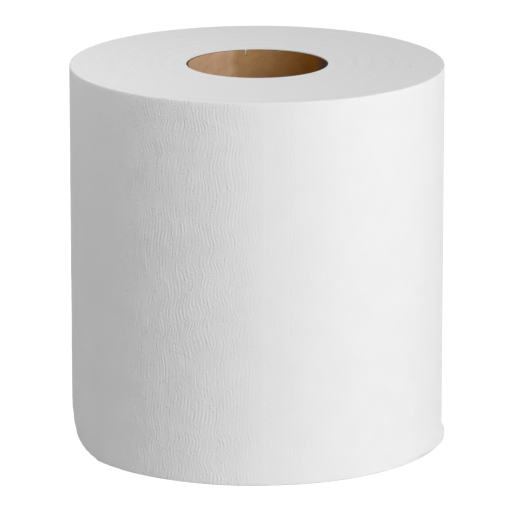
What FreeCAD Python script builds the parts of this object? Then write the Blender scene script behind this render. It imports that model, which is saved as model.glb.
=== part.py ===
"""A center pull paper towel roll: a web of towel wound on a cardboard core.

The frame has its origin at the middle of the base, +Z up the core, and -Y towards the front, where the
web's loose tail ends.  Lengths are in millimetres and angles in degrees.  An azimuth is measured about
+Z from +X.
"""

import FreeCAD, Part
import math
import os

import Sketcher

SIZES = {
    # the wound towel
    "roll_diameter": 198.0,  # across the finished roll, over the tail
    "sheet_width": 203.2,  # the web's width, which is the roll's height
    "sheet_length": 304.8,  # from one perforation to the next
    "sheet_thickness": 0.4,  # the loose two-ply web, and so the step at its tail
    "rim_softening": 0.5,  # where the outer turns' cut edges are rubbed round
    # the lines that bands of turns draw on both ends
    "turn_line_pitch": 10.0,
    "turn_line_width": 0.6,
    "turn_line_depth": 0.15,
    "turn_line_margin": 4.0,  # plain paper left at the core and at the outside
    # perforations, and the tail that was torn along one
    "slit_length": 9.0,
    "slit_gap": 1.5,
    "slit_width": 0.5,
    "slit_depth": 0.3,
    "tooth_length": 0.8,  # how far the torn ties stand out of the tail
    # the lower left of the roll, where the outer turns are pressed in
    "tuck_azimuth": 168.0,
    "tuck_height": 38.0,
    "tuck_upper_radius": 132.0,
    "tuck_lower_radius": 11.6,
    "tuck_foot_angle": 75.0,  # how far from upright the surface has turned at the base
    "tuck_axis_offset": 60.0,  # a larger offset makes the tuck reach less far round
    "tuck_blend": 0.3,
    # the lower right of the roll, where a few turns flare out
    "lip_azimuth": -19.0,
    "lip_reach": 2.2,
    "lip_root": 0.5,  # how far inside the roll the flare starts
    "lip_top": 7.0,
    "lip_crest_top": 4.7,
    "lip_crest_foot": 2.9,
    "lip_foot": 0.7,
    "lip_axis_offset": 28.0,  # a larger offset makes the lip reach less far round
    # the core
    "core_bore": 73.0,
    "core_wall": 1.0,
    "core_ply": 0.35,
    "core_recess": 0.5,  # how far each end of the core lies inside the paper
    "core_clearance": 0.05,  # all round, because the web is wound close on the core
    "seam_width": 0.5,
    "seam_lead": 117.0,  # the inner ply is 104 mm wide and climbs at 27 degrees
    "seam_azimuth": 85.0,  # where the seam crosses the level below
    "seam_depth_below_rim": 5.6,
    "nick_azimuth": 97.0,
    "nick_width": 1.1,
    "nick_depth": 3.0,
}

ROLL_RADIUS = "Sizes.roll_diameter / 2"
CORE_OUTER_RADIUS = "(Sizes.core_bore / 2 + Sizes.core_wall)"
HOLE_RADIUS = f"({CORE_OUTER_RADIUS} + Sizes.core_clearance)"
TAIL_AZIMUTH = -90  # the wound web ends at the front
OVERRUN = 1.0  # how far a cutting section runs past what it cuts
UP = FreeCAD.Vector(0, 0, 1)
ROLL_AXIS_IN_PLANE = {
    "XY_Plane": UP,
    "XZ_Plane": FreeCAD.Vector(0, 1, 0),
    "YZ_Plane": FreeCAD.Vector(0, 1, 0),
}


def make_sizes(document):
    """The spreadsheet that every sketch and feature reads."""
    sheet = document.addObject("Spreadsheet::Sheet", "Sizes")
    for row, (name, value) in enumerate(SIZES.items(), start=1):
        sheet.set(f"A{row}", name)
        sheet.set(f"B{row}", str(value))
        sheet.setAlias(f"B{row}", name)
    document.recompute()
    return sheet


def number(thing, rule):
    """The present value of a rule, which is an expression on the sizes."""
    return float(thing.evalExpression(rule))


def origin_part(body, role):
    """One of a body's own origin planes or axes."""
    return next(part for part in body.Origin.OriginFeatures if part.Role == role)


def new_body(document, name):
    body = document.addObject("PartDesign::Body", name)
    body.Label = name
    body.Placement = FreeCAD.Placement()
    return body


def new_sketch(body, name, plane, across="0", out="0", turn="0"):
    """A sketch on an origin plane, turned about the roll's axis, then moved across and out of the plane."""
    sketch = body.newObject("Sketcher::SketchObject", name)
    sketch.AttachmentSupport = [(origin_part(body, plane), "")]
    sketch.MapMode = "FlatFace"
    rotation = FreeCAD.Rotation(ROLL_AXIS_IN_PLANE[plane], number(sketch, turn))
    sketch.AttachmentOffset = FreeCAD.Placement(FreeCAD.Vector(), rotation)
    sketch.setExpression("AttachmentOffset.Base.x", across)
    sketch.setExpression("AttachmentOffset.Base.z", out)
    if turn != "0":
        sketch.setExpression("AttachmentOffset.Rotation.Angle", turn)
    return sketch


def bind(sketch, kind, places, rule):
    """A dimension of a sketch, held to a rule."""
    index = sketch.addConstraint(Sketcher.Constraint(kind, *places, number(sketch, rule)))
    sketch.setExpression(f"Constraints[{index}]", rule)


def pin(sketch, curve, end, x_rule, y_rule):
    """Hold a point of a curve at a place measured from the sketch's origin."""
    bind(sketch, "DistanceX", (-1, 1, curve, end), x_rule)
    bind(sketch, "DistanceY", (-1, 1, curve, end), y_rule)


def spot(sketch, x_rule, y_rule):
    return FreeCAD.Vector(number(sketch, x_rule), number(sketch, y_rule), 0)


def line(sketch, start, end):
    return sketch.addGeometry(Part.LineSegment(start, end), False)


def arc(sketch, centre, radius_rule, start, end):
    """An arc from one angle to another, in radians."""
    ring = Part.Circle(centre, UP, number(sketch, radius_rule))
    return sketch.addGeometry(Part.ArcOfCircle(ring, start, end), False)


def join_ends(sketch, curves):
    """Join each curve's end to the start of the one after it."""
    for curve, following in zip(curves, curves[1:]):
        sketch.addConstraint(Sketcher.Constraint("Coincident", curve, 2, following, 1))


def polygon(sketch, corners):
    """A closed outline of straight lines through corners, each given by two rules."""
    spots = [spot(sketch, *corner) for corner in corners]
    lines = [line(sketch, start, end) for start, end in zip(spots, spots[1:] + spots[:1])]
    join_ends(sketch, lines + lines[:1])
    for side, corner in zip(lines, corners):
        pin(sketch, side, 1, *corner)


def rectangle(sketch, left, right, low, high):
    polygon(sketch, [(left, low), (right, low), (right, high), (left, high)])


def circle(sketch, radius_rule):
    """A circle about the sketch's origin."""
    ring = sketch.addGeometry(Part.Circle(FreeCAD.Vector(), UP, number(sketch, radius_rule)), False)
    sketch.addConstraint(Sketcher.Constraint("Coincident", ring, 3, -1, 1))
    bind(sketch, "Radius", (ring,), radius_rule)


def new_feature(body, kind, name, sketch, **rules):
    """A sketch-based feature; each keyword is a property and the rule that drives it."""
    feature = body.newObject(f"PartDesign::{kind}", name)
    feature.Profile = sketch
    for key, rule in rules.items():
        feature.setExpression(key, rule)
    return feature


def turn_about_axis(body, kind, name, sketch, angle=360):
    """Revolve or groove a sketch about its own upright axis."""
    feature = new_feature(body, kind, name, sketch)
    feature.ReferenceAxis = (sketch, ["V_Axis"])
    feature.Angle = angle


def wind_web(body):
    """The wound turns: two half turns about two centres, so that the outside grows by one sheet a turn
    and ends in the tail's step at the front."""
    sketch = new_sketch(body, "wound_outline", "XY_Plane")
    shift = "Sizes.sheet_thickness / 4"
    right_radius = f"({ROLL_RADIUS} - 3 * {shift})"
    left_radius = f"({ROLL_RADIUS} - {shift})"
    quarter = math.pi / 2
    right = arc(sketch, spot(sketch, "0", shift), right_radius, -quarter, quarter)
    left = arc(sketch, spot(sketch, "0", f"-{shift}"), left_radius, quarter, 3 * quarter)
    tail = spot(sketch, "0", f"-{ROLL_RADIUS}")
    turn_below = spot(sketch, "0", f"-({ROLL_RADIUS} - Sizes.sheet_thickness)")
    step = line(sketch, tail, turn_below)
    join_ends(sketch, [right, left, step, right])
    pin(sketch, right, 3, "0", shift)
    pin(sketch, left, 3, "0", f"-{shift}")
    bind(sketch, "Radius", (right,), right_radius)
    for curve, end in ((right, 1), (right, 2), (left, 2)):
        sketch.addConstraint(Sketcher.Constraint("PointOnObject", curve, end, -2))
    circle(sketch, HOLE_RADIUS)
    new_feature(body, "Pad", "wound_web", sketch, Length="Sizes.sheet_width")


def cut_half_turn(body, name, half, shift, sections):
    """Cut sections through the right or left half of a two-centre spiral.

    The right half turn runs from the front to the back about a centre behind the axis, and the left one
    runs on from the back to the front about a centre as far before it.  Each section is a list of corners,
    given by a radius about that centre and a height.
    """
    start, side = ("-", "") if half == "right" else ("", "-")
    sketch = new_sketch(body, f"{name}_section", "YZ_Plane", across=f"{side}{shift}")
    for corners in sections:
        polygon(sketch, [(f"{start}({radius})", height) for radius, height in corners])
    turn_about_axis(body, "Groove", name, sketch, angle=180)


def soften_rims(body):
    """The rubbed edge of the outermost turn, at the top and at the base."""
    shift = "Sizes.sheet_thickness / 4"
    for half, growth in (("right", 3), ("left", 1)):
        edge = f"{ROLL_RADIUS} - {growth} * {shift}"
        sections = []
        for end, inwards in (("Sizes.sheet_width", "-"), ("0", "+")):
            sections.append(
                [
                    (f"{edge} - Sizes.rim_softening", end),
                    (f"{edge} + Sizes.rim_softening", end),
                    (f"{edge} + Sizes.rim_softening", f"{end} {inwards} 2 * Sizes.rim_softening"),
                ]
            )
        cut_half_turn(body, f"soft_rims_{half}", half, shift, sections)


def tuck_lower_left(body):
    """The pressed-in turns: a section of two tangent arcs, cut round an axis that is off the roll's."""
    sketch = new_sketch(
        body,
        "tuck_section",
        "XZ_Plane",
        across="-Sizes.tuck_axis_offset * cos(Sizes.tuck_azimuth)",
        out="Sizes.tuck_axis_offset * sin(Sizes.tuck_azimuth)",
    )
    reach = f"({ROLL_RADIUS} + Sizes.tuck_axis_offset + Sizes.tuck_blend)"
    outside = f"({reach} + {OVERRUN})"
    large, small = "Sizes.tuck_upper_radius", "Sizes.tuck_lower_radius"
    small_up = f"({small} * sin(Sizes.tuck_foot_angle))"
    join_sine = f"((Sizes.tuck_height - {small_up}) / ({large} - {small}))"
    join = math.asin(number(sketch, join_sine))
    foot = math.radians(number(sketch, "Sizes.tuck_foot_angle"))
    large_centre = spot(sketch, f"{reach} - {large}", "Sizes.tuck_height")
    small_centre = spot(
        sketch, f"{reach} - {large} + ({large} - {small}) * sqrt(1 - {join_sine}^2)", small_up
    )
    foot_end = FreeCAD.Vector(small_centre.x + number(sketch, small) * math.cos(foot), 0, 0)
    low_corner = spot(sketch, outside, "0")
    high_corner = spot(sketch, outside, "Sizes.tuck_height")
    upper = arc(sketch, large_centre, large, -join, 0)
    top = line(sketch, spot(sketch, reach, "Sizes.tuck_height"), high_corner)
    wall = line(sketch, high_corner, low_corner)
    base = line(sketch, low_corner, foot_end)
    lower = arc(sketch, small_centre, small, -foot, -join)
    join_ends(sketch, [upper, top, wall, base, lower])
    sketch.addConstraint(Sketcher.Constraint("Tangent", lower, 2, upper, 1))
    pin(sketch, upper, 3, f"{reach} - {large}", "Sizes.tuck_height")
    pin(sketch, wall, 2, outside, "0")
    bind(sketch, "DistanceY", (-1, 1, lower, 3), small_up)
    bind(sketch, "Radius", (upper,), large)
    bind(sketch, "Radius", (lower,), small)
    sketch.addConstraint(Sketcher.Constraint("PointOnObject", lower, 1, -1))
    sketch.addConstraint(Sketcher.Constraint("Horizontal", upper, 3, upper, 2))
    sketch.addConstraint(Sketcher.Constraint("Horizontal", top))
    sketch.addConstraint(Sketcher.Constraint("Vertical", wall))
    turn_about_axis(body, "Groove", "tucked_turns", sketch)


def flare_lower_right(body):
    """The flared turns: a ridge round an axis off the roll's, so it stands out on one side only."""
    sketch = new_sketch(
        body,
        "lip_section",
        "XZ_Plane",
        across="Sizes.lip_axis_offset * cos(Sizes.lip_azimuth)",
        out="-Sizes.lip_axis_offset * sin(Sizes.lip_azimuth)",
    )
    root = f"{ROLL_RADIUS} - Sizes.lip_axis_offset - Sizes.lip_root"
    crest = f"{ROLL_RADIUS} - Sizes.lip_axis_offset + Sizes.lip_reach"
    polygon(
        sketch,
        [
            (root, "Sizes.lip_foot"),
            (crest, "Sizes.lip_crest_foot"),
            (crest, "Sizes.lip_crest_top"),
            (root, "Sizes.lip_top"),
        ],
    )
    turn_about_axis(body, "Revolution", "flared_turns", sketch)


def turn_line_section(radius, end, inwards):
    """The small vee of one turn's line, on the top where inwards is - or on the base where it is +."""
    return [
        (f"{radius} - Sizes.turn_line_width / 2", end),
        (radius, f"{end} {inwards} Sizes.turn_line_depth"),
        (f"{radius} + Sizes.turn_line_width / 2", end),
    ]


def draw_turn_lines(body):
    """The wound turns' line on both ends: a spiral of half turns about two centres."""
    first = f"{HOLE_RADIUS} + Sizes.turn_line_margin"
    room = number(body, f"{ROLL_RADIUS} - Sizes.turn_line_margin - ({first})")
    half_turns = int(room / number(body, "Sizes.turn_line_pitch / 2"))
    for name, end, inwards in (("upper", "Sizes.sheet_width", "-"), ("lower", "0", "+")):
        for start, half in enumerate(("right", "left")):
            sections = [
                turn_line_section(f"{first} + {index} * Sizes.turn_line_pitch / 2", end, inwards)
                for index in range(start, half_turns, 2)
            ]
            cut_half_turn(body, f"{name}_turns_{half}", half, "Sizes.turn_line_pitch / 4", sections)


def cut_row(body, name, azimuth, floor, low, high):
    """A row of cuts up the roll, each a slit long, with ties left between them."""
    pitch = "(Sizes.slit_length + Sizes.slit_gap)"
    count = int(number(body, f"(Sizes.sheet_width + Sizes.slit_gap) / {pitch}"))
    start = f"(Sizes.sheet_width - {count} * {pitch} + Sizes.slit_gap) / 2"
    sketch = new_sketch(body, f"{name}_section", "XY_Plane", out=start, turn=azimuth)
    rectangle(sketch, floor, f"{ROLL_RADIUS} + {OVERRUN}", low, high)
    slit = new_feature(body, "Pocket", name, sketch, Length="Sizes.slit_length")
    slit.Reversed = True
    body.Document.recompute()
    row = body.newObject("PartDesign::LinearPattern", f"{name}_row")
    row.Originals = [slit]
    row.Direction = (origin_part(body, "Z_Axis"), [""])
    row.Occurrences = count
    row.setExpression("Length", f"{count - 1} * {pitch}")
    body.Tip = row


def perforate(body):
    """The torn tail's teeth, and the perforations that lie in the outermost turn behind it."""
    cut_row(
        body,
        "tail_teeth",
        str(TAIL_AZIMUTH),
        f"{ROLL_RADIUS} - Sizes.slit_depth",
        "-Sizes.tooth_length",
        "0",
    )
    girth = "(pi * Sizes.roll_diameter)"
    rows = int(number(body, f"{girth} / Sizes.sheet_length"))
    for index in range(1, rows + 1):
        share = f"({index} * Sizes.sheet_length / {girth})"
        cut_row(
            body,
            f"perforation_{index}",
            f"{TAIL_AZIMUTH} - 360 * {share}",
            f"{ROLL_RADIUS} - {share} * Sizes.sheet_thickness - Sizes.slit_depth",
            "-Sizes.slit_width / 2",
            "Sizes.slit_width / 2",
        )


def make_towel_roll(document):
    """The whole wound web, one solid."""
    body = new_body(document, "towel_roll")
    wind_web(body)
    soften_rims(body)
    tuck_lower_left(body)
    flare_lower_right(body)
    draw_turn_lines(body)
    document.recompute()
    perforate(body)
    document.recompute()
    return body


def roll_tube(body):
    """The core's wall, a little shorter than the paper at both ends."""
    sketch = new_sketch(body, "tube_section", "XY_Plane", out="Sizes.core_recess")
    circle(sketch, CORE_OUTER_RADIUS)
    circle(sketch, "Sizes.core_bore / 2")
    new_feature(body, "Pad", "tube", sketch, Length="Sizes.sheet_width - 2 * Sizes.core_recess")


def open_seam(body):
    """The open butt seam of the innermost ply, which climbs the bore as a left-handed helix."""
    seam_start = "(Sizes.core_recess - Sizes.seam_width)"
    crossing = "(Sizes.sheet_width - Sizes.core_recess - Sizes.seam_depth_below_rim)"
    turned = f"360 * ({crossing} - {seam_start}) / Sizes.seam_lead"
    sketch = new_sketch(body, "seam_section", "XZ_Plane", turn=f"Sizes.seam_azimuth + {turned}")
    inner = "Sizes.core_bore / 2"
    rectangle(
        sketch,
        f"{inner} - Sizes.core_ply",
        f"{inner} + Sizes.core_ply",
        f"{seam_start} - Sizes.seam_width / 2",
        f"{seam_start} + Sizes.seam_width / 2",
    )
    seam = body.newObject("PartDesign::SubtractiveHelix", "ply_seam")
    seam.Profile = sketch
    seam.ReferenceAxis = (sketch, ["V_Axis"])
    seam.Mode = 0
    seam.LeftHanded = True
    seam.setExpression("Pitch", "Sizes.seam_lead")
    seam.setExpression("Height", "Sizes.sheet_width - 2 * Sizes.core_recess + 2 * Sizes.seam_width")


def nick_rim(body):
    """The small tear in the core's upper rim."""
    sketch = new_sketch(
        body,
        "nick_outline",
        "XY_Plane",
        out="Sizes.sheet_width - Sizes.core_recess",
        turn="Sizes.nick_azimuth",
    )
    rectangle(
        sketch,
        f"Sizes.core_bore / 2 - {OVERRUN}",
        f"{CORE_OUTER_RADIUS} + {OVERRUN}",
        "-Sizes.nick_width / 2",
        "Sizes.nick_width / 2",
    )
    new_feature(body, "Pocket", "rim_nick", sketch, Length="Sizes.nick_depth")


def make_cardboard_core(document):
    """The spiral-wound board tube inside the roll."""
    body = new_body(document, "cardboard_core")
    roll_tube(body)
    nick_rim(body)
    document.recompute()
    open_seam(body)
    document.recompute()
    return body


def check(document, bodies):
    """Stop unless every object was made and every sub-part is one valid solid."""
    for thing in document.Objects:
        if {"Invalid", "Error"} & set(thing.State):
            raise RuntimeError(f"{thing.Name} failed: {thing.State}")
    for body in bodies:
        if body.Shape.isNull() or not body.Shape.isValid() or len(body.Shape.Solids) != 1:
            raise RuntimeError(f"{body.Label} isn't one valid solid")


def main():
    document = FreeCAD.newDocument("paper_towel_roll")
    make_sizes(document)
    bodies = [make_towel_roll(document), make_cardboard_core(document)]
    check(document, bodies)
    os.makedirs("parts", exist_ok=True)
    for body in bodies:
        body.Shape.exportStep(os.path.join("parts", f"{body.Label}.step"))
        print(f"{body.Label}: {body.Shape.Volume:.0f} mm3, {len(body.Shape.Faces)} faces")


main()
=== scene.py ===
"""The paper towel roll dressed: a creped outer turn, cut ends, a kraft board core and a plain studio.

The frame is the model's own: origin at the middle of the base, +Z up the core, -Y to the front.  Lengths
are in metres, and an azimuth is measured about +Z from +X.
"""

import math

import bpy
import numpy as np
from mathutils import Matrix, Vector


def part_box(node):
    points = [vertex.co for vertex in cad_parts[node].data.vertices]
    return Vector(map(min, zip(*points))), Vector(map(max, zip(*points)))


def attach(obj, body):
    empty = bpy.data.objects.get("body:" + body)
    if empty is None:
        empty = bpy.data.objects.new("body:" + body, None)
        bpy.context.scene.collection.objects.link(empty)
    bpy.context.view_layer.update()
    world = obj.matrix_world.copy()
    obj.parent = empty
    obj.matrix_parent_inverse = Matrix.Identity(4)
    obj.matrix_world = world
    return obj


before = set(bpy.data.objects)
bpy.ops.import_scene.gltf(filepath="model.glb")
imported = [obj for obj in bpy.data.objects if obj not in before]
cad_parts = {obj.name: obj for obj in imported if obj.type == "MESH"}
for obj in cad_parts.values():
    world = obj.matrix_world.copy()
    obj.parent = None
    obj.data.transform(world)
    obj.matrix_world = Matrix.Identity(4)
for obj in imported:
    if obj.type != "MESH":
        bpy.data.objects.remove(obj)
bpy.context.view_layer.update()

MM = 0.001

# read from the model
roll_low, roll_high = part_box("towel_roll")
core_low, core_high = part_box("cardboard_core")
ROLL_HEIGHT = roll_high.z
ROLL_RADIUS = -roll_low.y  # the web's tail is the furthest point to the front
SHEET_THICKNESS = 2 * (ROLL_RADIUS - roll_high.y)
CORE_RADIUS = core_high.x
CORE_TOP = core_high.z
GIRTH = 2 * math.pi * ROLL_RADIUS  # also how much of the web is in the outer turn

# the tail and the perforations, which repeat up the roll
TAIL_AZIMUTH = math.radians(-90)
SLIT_LENGTH = 9 * MM
SLIT_GAP = 1.5 * MM
SLIT_DEPTH = 0.06 * MM
TOOTH_LENGTH = 0.8 * MM
SHEET_LENGTH = 304.8 * MM

# the tuck at the lower left
TUCK_AZIMUTH = math.radians(168)
TUCK_HEIGHT = 38 * MM
TUCK_UPPER_RADIUS = 132 * MM
TUCK_LOWER_RADIUS = 11.6 * MM
TUCK_FOOT_ANGLE = math.radians(75)
TUCK_AXIS_OFFSET = 60 * MM
TUCK_BLEND = 0.3 * MM
TUCK_SOFTNESS = 0.05 * MM

# the flared lip at the lower right: its section as heights and how far it stands out there
LIP_AZIMUTH = math.radians(-19)
LIP_AXIS_OFFSET = 28 * MM
LIP_HEIGHTS = [0.5 * MM, 2.7 * MM, 4.9 * MM, 7.2 * MM]
LIP_STANDS = [-0.5 * MM, 2.2 * MM, 2.2 * MM, -0.5 * MM]
LIP_ROWS = [1.6 * MM, 3.7 * MM, 4.9 * MM, 6.0 * MM]  # the outer turn's extra rows there
LIP_SOFTNESS = 0.15 * MM

# the core
BOARD_THICKNESS = 1 * MM
BORE_RADIUS = CORE_RADIUS - BOARD_THICKNESS
SEAM_CLIMB = math.radians(27)
PAINTED_LIGHT_AZIMUTH = math.radians(155)  # the middle of the side painted pale as painted light; the side opposite is painted dark as painted shade
PAINTED_SHADOW_HEIGHTS = [CORE_TOP - 16 * MM, CORE_TOP - 10 * MM]  # where the painted shadow begins, and where it is full
# the dark and pale board colours are painted shade and painted light on the two sides of the bore
BOARD_PAINTED_SHADE_SIDE = (0.28, 0.10, 0.010)
BOARD_MIDDLE = (0.48, 0.28, 0.12)
BOARD_PAINTED_LIT_SIDE = (0.66, 0.42, 0.25)
BOARD_CUT = (0.66, 0.44, 0.28)  # the sides of the seam and the nick
# the rim colour is painted shade: the dark gap between the core and the paper
BOARD_RIM_PAINTED_SHADE = (0.05, 0.03, 0.012)
# the dirt colour is a painted shadow on the inside wall at the bore's right
BOARD_PAINTED_SHADOW = (0.07, 0.045, 0.03)

# the outer turn
COVER = 0.08 * MM  # how far its lowest places lie outside the wound solid
RIM = 0.55 * MM  # how far its edges are rounded
RIM_TURN_IN = 1.2 * MM
RIDGES = 330  # crepe ridges round the roll, a little under 2 mm apart
COLUMNS_PER_RIDGE = 3
COLUMNS = RIDGES * COLUMNS_PER_RIDGE
RIDGE_PITCH = GIRTH / RIDGES
RIDGE_HEIGHT = 0.25 * MM
RIDGE_WAVE = 1.0 * MM  # how far a ridge sways sideways
RIDGE_WAVE_PITCH = 26 * MM
RIDGE_WAVE_DRIFT = 5  # in radians, how far neighbouring ridges may fall out of step
RIDGE_SHIVER = 0.4 * MM
TEAR_SHIVER = 0.15 * MM
TEAR_COLUMNS = 6  # how many columns before the tail follow its torn edge
TEAR_COLUMNS_BELOW = 4  # and how many of the turn below it

# how much the crepe stands up at distances back from the tail
LOOSE_PLACES_MM = [0, 10, 24, 46, 70, 82, 96, 160, 210, 400, 450]
LOOSE_SHARES = [0.06, 0.4, 0.68, 0.9, 1.25, 0.65, 0.2, 0.2, 0.8, 0.8, 0.12]

# the wrinkles and the tail
WRINKLE_HEIGHT = 0.3 * MM
TAIL_LIFT = 0.08 * MM
TAIL_REACH = 7 * MM  # how far from the tail the paper either side of it lifts
TAIL_STEP_FILL = 0.2 * MM  # how much the turn below rises to meet the tail
TAIL_UNDERCUT = 1.0 * MM
TAIL_EDGE_DEPTH = 0.8 * SHEET_THICKNESS
TAIL_EDGE_LEAST = 0.02 * MM  # the foot of the tail's edge stays this far out of the turn below
CALM_REACH = 6 * MM  # the ridges stop swaying this close to the tail and the perforations

# cells round the roll and up it in the outer turn's noises
WAVE_CELLS = (24, 6)
SHIVER_CELLS = (150, 60)
TEAR_CELLS = (1, 90)
SMALL_PATCH_CELLS = (230, 50)
LARGE_PATCH_CELLS = (50, 18)
LARGE_WRINKLE_CELLS = (14, 13)
SMALL_WRINKLE_CELLS = (44, 34)
LIFT_CELLS = (1, 8)

# the paper's greys, between which it is mottled
PAPER_SHADES = ((0.83, 0.83, 0.83), (0.90, 0.90, 0.90))
CUT_END_SHADES = ((0.87, 0.87, 0.87), (0.90, 0.90, 0.90))
# the solid's shallow lines on the ends are painted paler, as painted light against their own shade
CUT_LINE_PAINTED_LIGHT = (0.98, 0.98, 0.98)

# the camera, with its angles in degrees
CAMERA_AZIMUTH = -92.3
CAMERA_ELEVATION = 14.07
CAMERA_DISTANCE = 2.759
CAMERA_TARGET = Vector((0, 0, 98.1 * MM))
CAMERA_LENS = 364.3
CAMERA_SHIFT = (-0.00244, 0.00059)


# ---- noise ----------------------------------------------------------------------------------------


def smooth_noise(seed, across, up, cells_across, cells_up):
    """Smooth noise from -1 to 1 at points given as shares of the web's length and width."""
    lattice = np.random.default_rng(seed).uniform(-1, 1, (cells_across + 2, cells_up + 2))
    x, y = np.clip(across, 0, 1) * cells_across, np.clip(up, 0, 1) * cells_up
    column, row = x.astype(int), y.astype(int)
    x, y = x - column, y - row
    x, y = x * x * (3 - 2 * x), y * y * (3 - 2 * y)
    low = lattice[column, row] * (1 - x) + lattice[column + 1, row] * x
    high = lattice[column, row + 1] * (1 - x) + lattice[column + 1, row + 1] * x
    return low * (1 - y) + high * y


# ---- the roll's form ------------------------------------------------------------------------------


def wound_radius(azimuth, turned):
    """The wound web's outside: two half turns about two centres, one sheet further out after a turn."""
    first_half = turned < 0.5
    centre = np.where(first_half, 1, -1) * SHEET_THICKNESS / 4
    radius = ROLL_RADIUS - np.where(first_half, 3, 1) * SHEET_THICKNESS / 4
    return centre * np.sin(azimuth) + np.sqrt(radius**2 - (centre * np.cos(azimuth)) ** 2)


def off_axis_radius(azimuth, towards, offset, reach):
    """How far from the roll's axis a circle lies whose centre is off that axis."""
    along = offset * np.cos(azimuth - towards)
    return along + np.sqrt(np.maximum(reach**2 - offset**2 + along**2, 0))


def tuck_inset(height):
    """How far in the tuck's section is: a large arc from its top, then a small one to the base."""
    small_up = TUCK_LOWER_RADIUS * math.sin(TUCK_FOOT_ANGLE)
    radius_step = TUCK_UPPER_RADIUS - TUCK_LOWER_RADIUS
    join = math.asin((TUCK_HEIGHT - small_up) / radius_step)
    join_height = TUCK_HEIGHT - TUCK_UPPER_RADIUS * math.sin(join)
    below_top = np.clip(TUCK_HEIGHT - height, 0, TUCK_HEIGHT)
    upper = TUCK_UPPER_RADIUS - np.sqrt(TUCK_UPPER_RADIUS**2 - below_top**2)
    from_small = np.clip(height - small_up, -small_up, 0)
    small_out = radius_step * math.cos(join) + np.sqrt(TUCK_LOWER_RADIUS**2 - from_small**2)
    return np.where(height > join_height, upper, TUCK_UPPER_RADIUS - small_out)


def soft_maximum(first, second, blend):
    return (first + second + np.sqrt((first - second) ** 2 + blend**2)) / 2


def roll_radius(azimuth, turned, height):
    """The outside of the roll with its tuck and its lip."""
    radius = wound_radius(azimuth, turned)
    tuck_reach = ROLL_RADIUS + TUCK_AXIS_OFFSET + TUCK_BLEND - tuck_inset(height)
    tuck = off_axis_radius(azimuth, TUCK_AZIMUTH + math.pi, TUCK_AXIS_OFFSET, tuck_reach)
    radius = -soft_maximum(-radius, -tuck, TUCK_SOFTNESS)
    stands = np.interp(height, LIP_HEIGHTS, LIP_STANDS)
    lip = off_axis_radius(azimuth, LIP_AZIMUTH, LIP_AXIS_OFFSET, ROLL_RADIUS - LIP_AXIS_OFFSET + stands)
    return soft_maximum(radius, lip, LIP_SOFTNESS)


# ---- the outer turn -------------------------------------------------------------------------------


def slit_pattern():
    """The pitch of the slits up the roll, how many there are, and where the lowest one starts."""
    pitch = SLIT_LENGTH + SLIT_GAP
    count = int((ROLL_HEIGHT + SLIT_GAP) / pitch)
    return pitch, count, (ROLL_HEIGHT - count * pitch + SLIT_GAP) / 2


def web_rows():
    """The heights of the outer turn's rows, and which of them lie in the middle of a tie."""
    pitch, count, first = slit_pattern()
    rows = [(height, False) for height in [RIM, ROLL_HEIGHT - RIM] + LIP_ROWS]
    for index in range(count):
        low = first + index * pitch
        rows += [(low, False), (low + SLIT_LENGTH / 2, False), (low + SLIT_LENGTH, False)]
        if index < count - 1:
            rows.append((low + SLIT_LENGTH + SLIT_GAP / 2, True))
    rows.sort()
    heights = np.array([height for height, _ in rows])
    ties = np.array([tie for _, tie in rows])
    return heights, ties


def perforations():
    """Where the perforation rows cross the outer turn, as shares of it that end with 1 at the tail."""
    return [1 - index * SHEET_LENGTH / GIRTH for index in range(1, int(GIRTH / SHEET_LENGTH) + 1)]


def standing(turned):
    """How much the crepe stands up: most where the web is loose, and least where it is pulled tight."""
    return np.interp((1 - turned) * GIRTH / MM, LOOSE_PLACES_MM, LOOSE_SHARES)


def perforation_columns():
    return [round(share * (COLUMNS - 1)) for share in perforations()]


def calm(turned):
    """1 where the ridges may sway, falling to 0 at the tail and at the perforations."""
    share = np.ones_like(turned)
    for cut in [0, 1] + [column / (COLUMNS - 1) for column in perforation_columns()]:
        share *= np.clip(np.abs(turned - cut) * GIRTH / CALM_REACH, 0, 1)
    return share


def swayed_azimuth(turned, up, swing, ties):
    """The columns sway with the ridges, and follow the torn edge at the tail."""
    sideways = RIDGE_WAVE * np.sin(swing) + RIDGE_SHIVER * smooth_noise(4, turned, up, *SHIVER_CELLS)
    torn = np.where(ties, 0, -TOOTH_LENGTH) + TEAR_SHIVER * smooth_noise(5, 0 * turned, up, *TEAR_CELLS)
    column = np.arange(COLUMNS)[:, None]
    near_tail = np.maximum(1 - (COLUMNS - 1 - column) / TEAR_COLUMNS, 0)
    near_tail = near_tail + np.maximum(1 - column / TEAR_COLUMNS_BELOW, 0)
    sideways = sideways * calm(turned) + torn * near_tail
    return TAIL_AZIMUTH + 2 * math.pi * turned + sideways / ROLL_RADIUS


def crepe_ridges(turned, up, swing):
    """The height of the crepe's ridges, which come and go in patches."""
    patches = 0.3 + 0.9 * smooth_noise(6, turned, up, *SMALL_PATCH_CELLS)
    patches += 0.7 * smooth_noise(7, turned, up, *LARGE_PATCH_CELLS) + 0.2 * np.cos(2 * swing)
    wave = 0.5 + 0.5 * np.sin(np.arange(COLUMNS)[:, None] * 2 * math.pi / COLUMNS_PER_RIDGE)
    return RIDGE_HEIGHT * standing(turned) * np.clip(patches, 0.05, 1) * wave


def wrinkles(turned, up):
    """Soft creases, which are larger where the web is loose and die out at the tail."""
    creases = 0.5 + 0.3 * smooth_noise(8, turned, up, *LARGE_WRINKLE_CELLS)
    creases += 0.2 * smooth_noise(9, turned, up, *SMALL_WRINKLE_CELLS)
    from_tail = np.minimum(turned, 1 - turned) * GIRTH
    return WRINKLE_HEIGHT * creases * (0.5 + standing(turned)) * np.clip(from_tail / TAIL_REACH, 0, 1)


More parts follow.
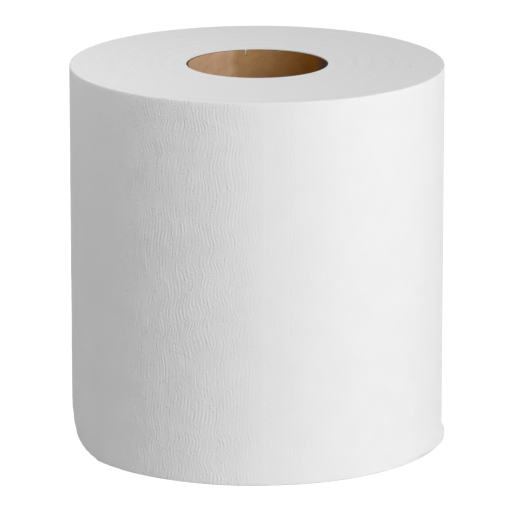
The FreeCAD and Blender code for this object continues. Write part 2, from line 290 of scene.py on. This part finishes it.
def tail_lift(turned, up):
    """The tail stands off in places, and the turn below rises a little to meet it."""
    lift = TAIL_LIFT * (0.5 + 0.5 * smooth_noise(10, 0 * turned, up, *LIFT_CELLS))
    lift *= np.clip(1 - (1 - turned) * GIRTH / TAIL_REACH, 0, 1) ** 2
    return lift + TAIL_STEP_FILL * np.clip(1 - turned * GIRTH / TAIL_REACH, 0, 1) ** 2


def outer_turn_grid(heights, ties):
    """Azimuths and radii of the outer turn's outside, one row of numbers for each column."""
    turned, height = np.meshgrid(np.linspace(0, 1, COLUMNS), heights, indexing="ij")
    up = height / ROLL_HEIGHT
    swing = RIDGE_WAVE_DRIFT * smooth_noise(3, turned, up, *WAVE_CELLS)
    swing += 2 * math.pi * height / RIDGE_WAVE_PITCH
    azimuth = swayed_azimuth(turned, up, swing, ties)
    radius = roll_radius(azimuth, turned, height) + COVER
    radius += crepe_ridges(turned, up, swing) + wrinkles(turned, up) + tail_lift(turned, up)
    for column in perforation_columns():
        radius[column, ~ties] -= SLIT_DEPTH
    return azimuth, radius


def add_tail_edge(azimuth, radius):
    """Two more columns after the tail: the foot of its cut edge, and the corner tucked in below it."""
    edge, start = azimuth[-1] - 2 * math.pi, radius[0]
    foot_radius = np.maximum(radius[-1] - TAIL_EDGE_DEPTH, start + TAIL_EDGE_LEAST)
    corner = edge - TAIL_UNDERCUT / ROLL_RADIUS
    return np.vstack([azimuth, edge, corner]), np.vstack([radius, foot_radius, start])


def close_section(azimuth, radius, heights):
    """Points of the whole section of each column: the side, the rounded rims and the turn inwards."""
    # inwards and up from the edge: half way round the rim, over it, and tucked in below the end
    rim = [(0.16 * MM, RIM - 0.16 * MM), (RIM, RIM + 0.01 * MM), (RIM_TURN_IN, RIM - 0.1 * MM)]
    columns = []
    for column_azimuth, column_radius in zip(azimuth, radius):
        low, high = column_radius[0], column_radius[-1]
        section = [(column_azimuth[0], low - inwards, RIM - down) for inwards, down in reversed(rim)]
        section += list(zip(column_azimuth, column_radius, heights))
        section += [(column_azimuth[-1], high - inwards, ROLL_HEIGHT - RIM + up) for inwards, up in rim]
        columns.append(section)
    return np.array(columns)


def mesh_from_sections(name, sections):
    """A closed mesh from sections of (azimuth, radius, height), each joined to the next and round."""
    columns, points = sections.shape[:2]
    azimuth, radius, height = np.moveaxis(sections, 2, 0)
    spots = np.stack([radius * np.cos(azimuth), radius * np.sin(azimuth), height], axis=2)
    column, point = np.meshgrid(np.arange(columns), np.arange(points), indexing="ij")
    here, above = column * points + point, column * points + (point + 1) % points
    beside = (column + 1) % columns * points + point
    beside_above = (column + 1) % columns * points + (point + 1) % points
    faces = np.stack([here, beside, beside_above, above], axis=2).reshape(-1, 4)
    mesh = bpy.data.meshes.new(name)
    mesh.from_pydata(spots.reshape(-1, 3).tolist(), [], faces.tolist())
    mesh.shade_smooth()
    mesh.set_sharp_from_angle(angle=math.radians(60))
    return mesh


def add_web_map(mesh, sections):
    """A map in metres along and up the web, and how much the crepe stands up at each point.

    The map sways with the ridges, as the paper's texture does.
    """
    height = sections[:, :, 2]
    along = np.arange(len(sections))[:, None] * RIDGE_PITCH / COLUMNS_PER_RIDGE + 0 * height
    share = mesh.attributes.new("standing", "FLOAT", "POINT")
    share.data.foreach_set("value", standing(along / GIRTH).ravel())
    spots = np.stack([along, height], axis=2).reshape(-1, 2)
    corners = np.zeros(len(mesh.loops), int)
    mesh.loops.foreach_get("vertex_index", corners)
    layer = mesh.uv_layers.new(name="web")
    layer.data.foreach_set("uv", spots[corners].ravel())


def make_outer_turn():
    """The roll's outermost turn: creped, perforated, and torn off along its tail."""
    heights, ties = web_rows()
    azimuth, radius = add_tail_edge(*outer_turn_grid(heights, ties))
    sections = close_section(azimuth, radius, heights)
    mesh = mesh_from_sections("outer_turn", sections)
    add_web_map(mesh, sections)
    piece = bpy.data.objects.new("outer_turn", mesh)
    bpy.context.scene.collection.objects.link(piece)
    return piece


# ---- materials ------------------------------------------------------------------------------------


def place(tree, kind, inputs=None, **properties):
    """A new node; an input is given as a value or as the socket that feeds it."""
    node = tree.nodes.new(kind)
    for name, value in properties.items():
        setattr(node, name, value)
    for name, value in (inputs or {}).items():
        if isinstance(value, bpy.types.NodeSocket):
            tree.links.new(value, node.inputs[name])
        else:
            node.inputs[name].default_value = value
    return node


def calculate(tree, operation, *values):
    inputs = dict(enumerate(values))
    return place(tree, "ShaderNodeMath", inputs, operation=operation).outputs[0]


def noise(tree, vector, scale, detail=3.0, roughness=0.5):
    inputs = {"Vector": vector, "Scale": scale, "Detail": detail, "Roughness": roughness}
    return place(tree, "ShaderNodeTexNoise", inputs).outputs["Fac"]


def noise_along(tree, distance, scale, detail=2.0):
    inputs = {"W": distance, "Scale": scale, "Detail": detail}
    return place(tree, "ShaderNodeTexNoise", inputs, noise_dimensions="1D").outputs["Fac"]


def spread(tree, value, low, high, from_low=0.3, from_high=0.7):
    """A value moved from one range to another."""
    inputs = {"Value": value, "From Min": from_low, "From Max": from_high, "To Min": low, "To Max": high}
    return place(tree, "ShaderNodeMapRange", inputs).outputs["Result"]


def blend_colours(tree, share, first, second):
    """Two colours mixed by a share from 0 to 1; each is three numbers or the socket that feeds it."""
    node = place(tree, "ShaderNodeMix", data_type="RGBA")
    sockets = {socket.name: socket for socket in node.inputs if socket.enabled}
    tree.links.new(share, sockets["Factor"])
    for name, colour in (("A", first), ("B", second)):
        if isinstance(colour, bpy.types.NodeSocket):
            tree.links.new(colour, sockets[name])
        else:
            sockets[name].default_value = (*colour, 1)
    return next(socket for socket in node.outputs if socket.enabled)


def bump(tree, height, distance, below=None):
    inputs = {"Height": height, "Distance": distance, "Strength": 1.0}
    if below is not None:
        inputs["Normal"] = below
    return place(tree, "ShaderNodeBump", inputs).outputs["Normal"]


def new_material(name):
    material = bpy.data.materials.new(name)
    material.use_nodes = True
    tree = material.node_tree
    tree.nodes.clear()
    surface = place(tree, "ShaderNodeBsdfPrincipled")
    place(tree, "ShaderNodeOutputMaterial", {"Surface": surface.outputs["BSDF"]})
    return material, tree, surface


def connect(tree, surface, colour, roughness, normal, specular=0.2):
    tree.links.new(colour, surface.inputs["Base Color"])
    tree.links.new(roughness, surface.inputs["Roughness"])
    tree.links.new(normal, surface.inputs["Normal"])
    surface.inputs["Specular IOR Level"].default_value = specular


def creped_paper():
    """The towel's face: white, with fibres and small pits that are too fine for the mesh."""
    material, tree, surface = new_material("creped_paper")
    web = place(tree, "ShaderNodeUVMap", uv_map="web").outputs["UV"]
    in_mm = place(tree, "ShaderNodeMapping", {"Vector": web, "Scale": (1000, 1000, 1)}).outputs["Vector"]
    tall = place(tree, "ShaderNodeMapping", {"Vector": web, "Scale": (1000, 300, 1)}).outputs["Vector"]
    along = place(tree, "ShaderNodeSeparateXYZ", {"Vector": web}).outputs["X"]
    wave = calculate(tree, "SINE", calculate(tree, "MULTIPLY", along, 2 * math.pi / RIDGE_PITCH))
    breaks = spread(tree, noise(tree, tall, 0.5, detail=1.0), 0.0, 1.0, 0.46, 0.6)
    strokes = calculate(tree, "MULTIPLY", wave, breaks)
    clusters = spread(tree, noise(tree, in_mm, 0.22), 0.0, 1.0, 0.42, 0.6)
    dots = place(tree, "ShaderNodeTexVoronoi", {"Vector": in_mm, "Scale": 0.7}).outputs["Distance"]
    nubs = calculate(tree, "MULTIPLY", spread(tree, dots, 1.0, 0.0, 0.1, 0.45), clusters)
    fibres = noise(tree, in_mm, 2.6, detail=3.0, roughness=0.6)
    share = place(tree, "ShaderNodeAttribute", attribute_name="standing").outputs["Fac"]
    mottle = calculate(tree, "SUBTRACT", noise(tree, in_mm, 0.06), 0.5)
    mottle = calculate(tree, "MULTIPLY_ADD", mottle, calculate(tree, "ADD", share, 0.5), 0.5)
    colour = blend_colours(tree, mottle, *PAPER_SHADES)
    normal = bump(tree, calculate(tree, "MULTIPLY", strokes, share), 0.08 * MM)
    normal = bump(tree, calculate(tree, "MULTIPLY", nubs, share), 0.26 * MM, below=normal)
    normal = bump(tree, fibres, 0.03 * MM, below=normal)
    connect(tree, surface, colour, spread(tree, fibres, 0.82, 0.97), normal)
    return material


def flush_normal(tree):
    """The surface's normal, with both ends shaded as flat: their turns lie flush, and fine rings show
    them better than the solid's few shallow grooves."""
    normal = place(tree, "ShaderNodeNewGeometry").outputs["Normal"]
    up = place(tree, "ShaderNodeSeparateXYZ", {"Vector": normal}).outputs["Z"]
    flat = place(tree, "ShaderNodeCombineXYZ", {"Z": calculate(tree, "SIGN", up)}).outputs["Vector"]
    is_end = spread(tree, calculate(tree, "ABSOLUTE", up), 0.0, 1.0, 0.6, 0.7)
    node = place(tree, "ShaderNodeMix", data_type="VECTOR")
    sockets = {socket.name: socket for socket in node.inputs if socket.enabled}
    for name, value in (("Factor", is_end), ("A", normal), ("B", flat)):
        tree.links.new(value, sockets[name])
    return next(socket for socket in node.outputs if socket.enabled)


def distance_from_axis(tree, axes):
    square = calculate(tree, "ADD", calculate(tree, "POWER", axes["X"], 2.0),
                       calculate(tree, "POWER", axes["Y"], 2.0))
    return calculate(tree, "SQRT", square)


def depth_in_end(tree, axes):
    """How far a point lies inside the plane of the nearer end."""
    below_top = calculate(tree, "SUBTRACT", ROLL_HEIGHT, axes["Z"])
    distances = [calculate(tree, "ABSOLUTE", height) for height in (axes["Z"], below_top)]
    return calculate(tree, "MINIMUM", *distances)


def cut_ends():
    """The cut edges of the turns: fine rings of uneven height and random tone, with painted shade a
    little darker between the turns.  The solid's few shallow lines are painted paler, as painted light
    against the shade they cast on themselves, which would hide the fine rings."""
    material, tree, surface = new_material("cut_ends")
    place_on_roll = place(tree, "ShaderNodeTexCoord").outputs["Object"]
    axes = place(tree, "ShaderNodeSeparateXYZ", {"Vector": place_on_roll}).outputs
    drift = noise(tree, place_on_roll, 35.0)
    radius_mm = calculate(tree, "MULTIPLY_ADD", distance_from_axis(tree, axes), 1000.0, drift)
    turns = noise_along(tree, radius_mm, 1.9)
    bands = noise_along(tree, radius_mm, 0.28)
    both = calculate(tree, "MULTIPLY_ADD", turns, 0.6, calculate(tree, "MULTIPLY", bands, 0.4))
    # the rings' tone is partly random and partly painted shade, darker where they lie lower between the
    # turns
    colour = blend_colours(tree, spread(tree, both, 0.0, 1.0), *CUT_END_SHADES)
    # painted light: the solid's shallow lines are painted paler to offset the shade they cast on
    # themselves
    depth = depth_in_end(tree, axes)
    painted_light_in_lines = calculate(tree, "MULTIPLY", spread(tree, depth, 0.0, 1.0, 0.01 * MM, 0.06 * MM),
                     spread(tree, depth, 1.0, 0.0, 0.2 * MM, 0.3 * MM))
    colour = blend_colours(tree, painted_light_in_lines, colour, CUT_LINE_PAINTED_LIGHT)
    normal = bump(tree, turns, 0.035 * MM, below=flush_normal(tree))
    normal = bump(tree, bands, 0.07 * MM, below=normal)
    connect(tree, surface, colour, spread(tree, turns, 0.85, 0.98), normal)
    return material


def kraft_board():
    """The core's brown board: painted light on one side and painted shade on the other, with a painted
    shadow high on the right, faint streaks along its winding, pale cuts and a rim painted as shade."""
    material, tree, surface = new_material("kraft_board")
    spot = place(tree, "ShaderNodeTexCoord").outputs["Object"]
    axes = place(tree, "ShaderNodeSeparateXYZ", {"Vector": spot}).outputs
    azimuth = calculate(tree, "ARCTAN2", axes["Y"], axes["X"])
    round_mm = calculate(tree, "MULTIPLY", azimuth, -1000 * CORE_RADIUS)
    up_mm = calculate(tree, "MULTIPLY", axes["Z"], 1000.0)
    along = calculate(tree, "ADD", calculate(tree, "MULTIPLY", round_mm, math.cos(SEAM_CLIMB)),
                      calculate(tree, "MULTIPLY", up_mm, math.sin(SEAM_CLIMB)))
    across = calculate(tree, "SUBTRACT", calculate(tree, "MULTIPLY", up_mm, math.cos(SEAM_CLIMB)),
                       calculate(tree, "MULTIPLY", round_mm, math.sin(SEAM_CLIMB)))
    wound = place(tree, "ShaderNodeCombineXYZ",
                  {"X": calculate(tree, "MULTIPLY", along, 0.06), "Y": across}).outputs["Vector"]
    streaks = noise(tree, wound, 0.33, detail=4.0)
    fibres = noise(tree, spot, 1400.0, detail=3.0, roughness=0.65)
    patches = noise(tree, spot, 160.0)

    # painted light and shade: the board is painted paler on one side of the bore and darker on the
    # other, broken up by random patches
    painted_light_share = calculate(tree, "COSINE", calculate(tree, "SUBTRACT", azimuth, PAINTED_LIGHT_AZIMUTH))
    painted_light_share = calculate(tree, "MULTIPLY_ADD", patches, 0.1, painted_light_share)
    board = blend_colours(tree, spread(tree, painted_light_share, 0.0, 1.0, -0.35, 0.65), BOARD_PAINTED_SHADE_SIDE, BOARD_MIDDLE)
    board = blend_colours(tree, spread(tree, painted_light_share, 0.0, 1.0, 0.67, 0.77), board, BOARD_PAINTED_LIT_SIDE)
    tone = calculate(tree, "MULTIPLY_ADD", fibres, 0.5, calculate(tree, "MULTIPLY", streaks, 0.25))
    tone = calculate(tree, "MULTIPLY_ADD", patches, 0.25, tone)
    inputs = {"Color": board, "Value": spread(tree, tone, 0.88, 1.12, 0.4, 0.6)}
    board = place(tree, "ShaderNodeHueSaturation", inputs).outputs["Color"]
    # painted shadow: the inside wall near the top, on the bore's right, is painted nearly black
    top = spread(tree, axes["Z"], 0.0, 1.0, *PAINTED_SHADOW_HEIGHTS)
    right = spread(tree, calculate(tree, "COSINE", azimuth), 0.0, 1.0, 0.86, 0.98)
    board = blend_colours(tree, calculate(tree, "MULTIPLY", right, top), board, BOARD_PAINTED_SHADOW)
    from_bore = calculate(tree, "SUBTRACT", distance_from_axis(tree, axes), BORE_RADIUS)
    board = blend_colours(tree, spread(tree, from_bore, 0.0, 1.0, 0.05 * MM, 0.1 * MM), board, BOARD_CUT)
    normals = place(tree, "ShaderNodeSeparateXYZ",
                    {"Vector": place(tree, "ShaderNodeNewGeometry").outputs["Normal"]}).outputs
    # painted shade: the board's end faces are painted nearly black, for the shade in the gap below the
    # paper's end
    rim = spread(tree, calculate(tree, "ABSOLUTE", normals["Z"]), 0.0, 1.0, 0.6, 0.8)
    colour = blend_colours(tree, rim, board, BOARD_RIM_PAINTED_SHADE)
    normal = bump(tree, streaks, 0.05 * MM)
    normal = bump(tree, fibres, 0.03 * MM, below=normal)
    connect(tree, surface, colour, spread(tree, fibres, 0.7, 0.92), normal, specular=0.08)
    return material


def white_floor():
    """White to the camera, with a faint shadow; a plain pale surface to every other ray."""
    material = bpy.data.materials.new("white_floor")
    material.use_nodes = True
    tree = material.node_tree
    tree.nodes.clear()
    matt = place(tree, "ShaderNodeBsdfDiffuse", {"Color": (0.8, 0.8, 0.8, 1)})
    shaded = place(tree, "ShaderNodeBsdfDiffuse", {"Color": (0.32, 0.32, 0.32, 1)})
    glow = place(tree, "ShaderNodeEmission", {"Color": (1, 1, 1, 1), "Strength": 0.9})
    seen = place(tree, "ShaderNodeAddShader", {0: shaded.outputs[0], 1: glow.outputs[0]})
    inputs = {0: looked_at(tree), 1: matt.outputs[0], 2: seen.outputs[0]}
    mixed = place(tree, "ShaderNodeMixShader", inputs)
    place(tree, "ShaderNodeOutputMaterial", {"Surface": mixed.outputs[0]})
    return material


# ---- the studio -----------------------------------------------------------------------------------


def looked_at(tree):
    """1 for rays from the camera and those seen in gloss or through glass, and 0 for the rest."""
    rays = place(tree, "ShaderNodeLightPath").outputs
    gloss = calculate(tree, "MAXIMUM", rays["Is Glossy Ray"], rays["Is Transmission Ray"])
    return calculate(tree, "MAXIMUM", rays["Is Camera Ray"], gloss)


def direction(azimuth, elevation):
    """The unit vector at an azimuth and elevation in degrees."""
    azimuth, elevation = math.radians(azimuth), math.radians(elevation)
    level = math.cos(elevation)
    return Vector((level * math.cos(azimuth), level * math.sin(azimuth), math.sin(elevation)))


def aim(thing, target):
    """Point a camera or lamp at a place."""
    thing.rotation_euler = (target - thing.location).to_track_quat("-Z", "Y").to_euler()


def add_camera():
    data = bpy.data.cameras.new("camera")
    data.lens = CAMERA_LENS
    data.sensor_width = 36
    data.shift_x, data.shift_y = CAMERA_SHIFT
    data.clip_end = 50
    camera = bpy.data.objects.new("camera", data)
    camera.location = CAMERA_TARGET + CAMERA_DISTANCE * direction(CAMERA_AZIMUTH, CAMERA_ELEVATION)
    aim(camera, CAMERA_TARGET)
    bpy.context.scene.collection.objects.link(camera)
    bpy.context.scene.camera = camera


def add_lamp(name, right_of_camera, elevation, distance, size, power):
    data = bpy.data.lights.new(name, "AREA")
    data.shape = "DISK"
    data.size = size
    data.energy = power
    lamp = bpy.data.objects.new(name, data)
    lamp.location = CAMERA_TARGET + distance * direction(CAMERA_AZIMUTH + right_of_camera, elevation)
    aim(lamp, CAMERA_TARGET)
    bpy.context.scene.collection.objects.link(lamp)


def add_world():
    world = bpy.data.worlds.new("studio")
    world.use_nodes = True
    tree = world.node_tree
    tree.nodes.clear()
    fill = place(tree, "ShaderNodeBackground", {"Color": (1, 1, 1, 1), "Strength": 0.31})
    white = place(tree, "ShaderNodeBackground", {"Color": (1, 1, 1, 1), "Strength": 1.0})
    inputs = {0: looked_at(tree), 1: fill.outputs[0], 2: white.outputs[0]}
    mixed = place(tree, "ShaderNodeMixShader", inputs)
    place(tree, "ShaderNodeOutputWorld", {"Surface": mixed.outputs[0]})
    bpy.context.scene.world = world


def add_floor():
    half = 4.0
    mesh = bpy.data.meshes.new("floor")
    corners = [(-half, -half, 0), (half, -half, 0), (half, half, 0), (-half, half, 0)]
    mesh.from_pydata(corners, [], [(0, 1, 2, 3)])
    mesh.materials.append(white_floor())
    floor = bpy.data.objects.new("floor", mesh)
    floor.location.z = roll_low.z - 0.1 * MM
    bpy.context.scene.collection.objects.link(floor)


def dress(piece, material):
    piece.data.materials.clear()
    piece.data.materials.append(material)


def main():
    add_camera()
    outer_turn = make_outer_turn()
    dress(outer_turn, creped_paper())
    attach(outer_turn, "root")
    dress(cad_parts["towel_roll"], cut_ends())
    dress(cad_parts["cardboard_core"], kraft_board())
    add_floor()
    add_world()
    add_lamp("key", right_of_camera=40, elevation=25, distance=2.2, size=1.0, power=21.3)
    add_lamp("low_side", right_of_camera=60, elevation=5, distance=2.2, size=1.0, power=8.3)
    add_lamp("behind", right_of_camera=160, elevation=3, distance=2.2, size=1.0, power=9)
    add_lamp("near_left", right_of_camera=-77, elevation=60, distance=0.5, size=0.3, power=0.58)
    bpy.context.scene.view_settings.view_transform = "Standard"


main()
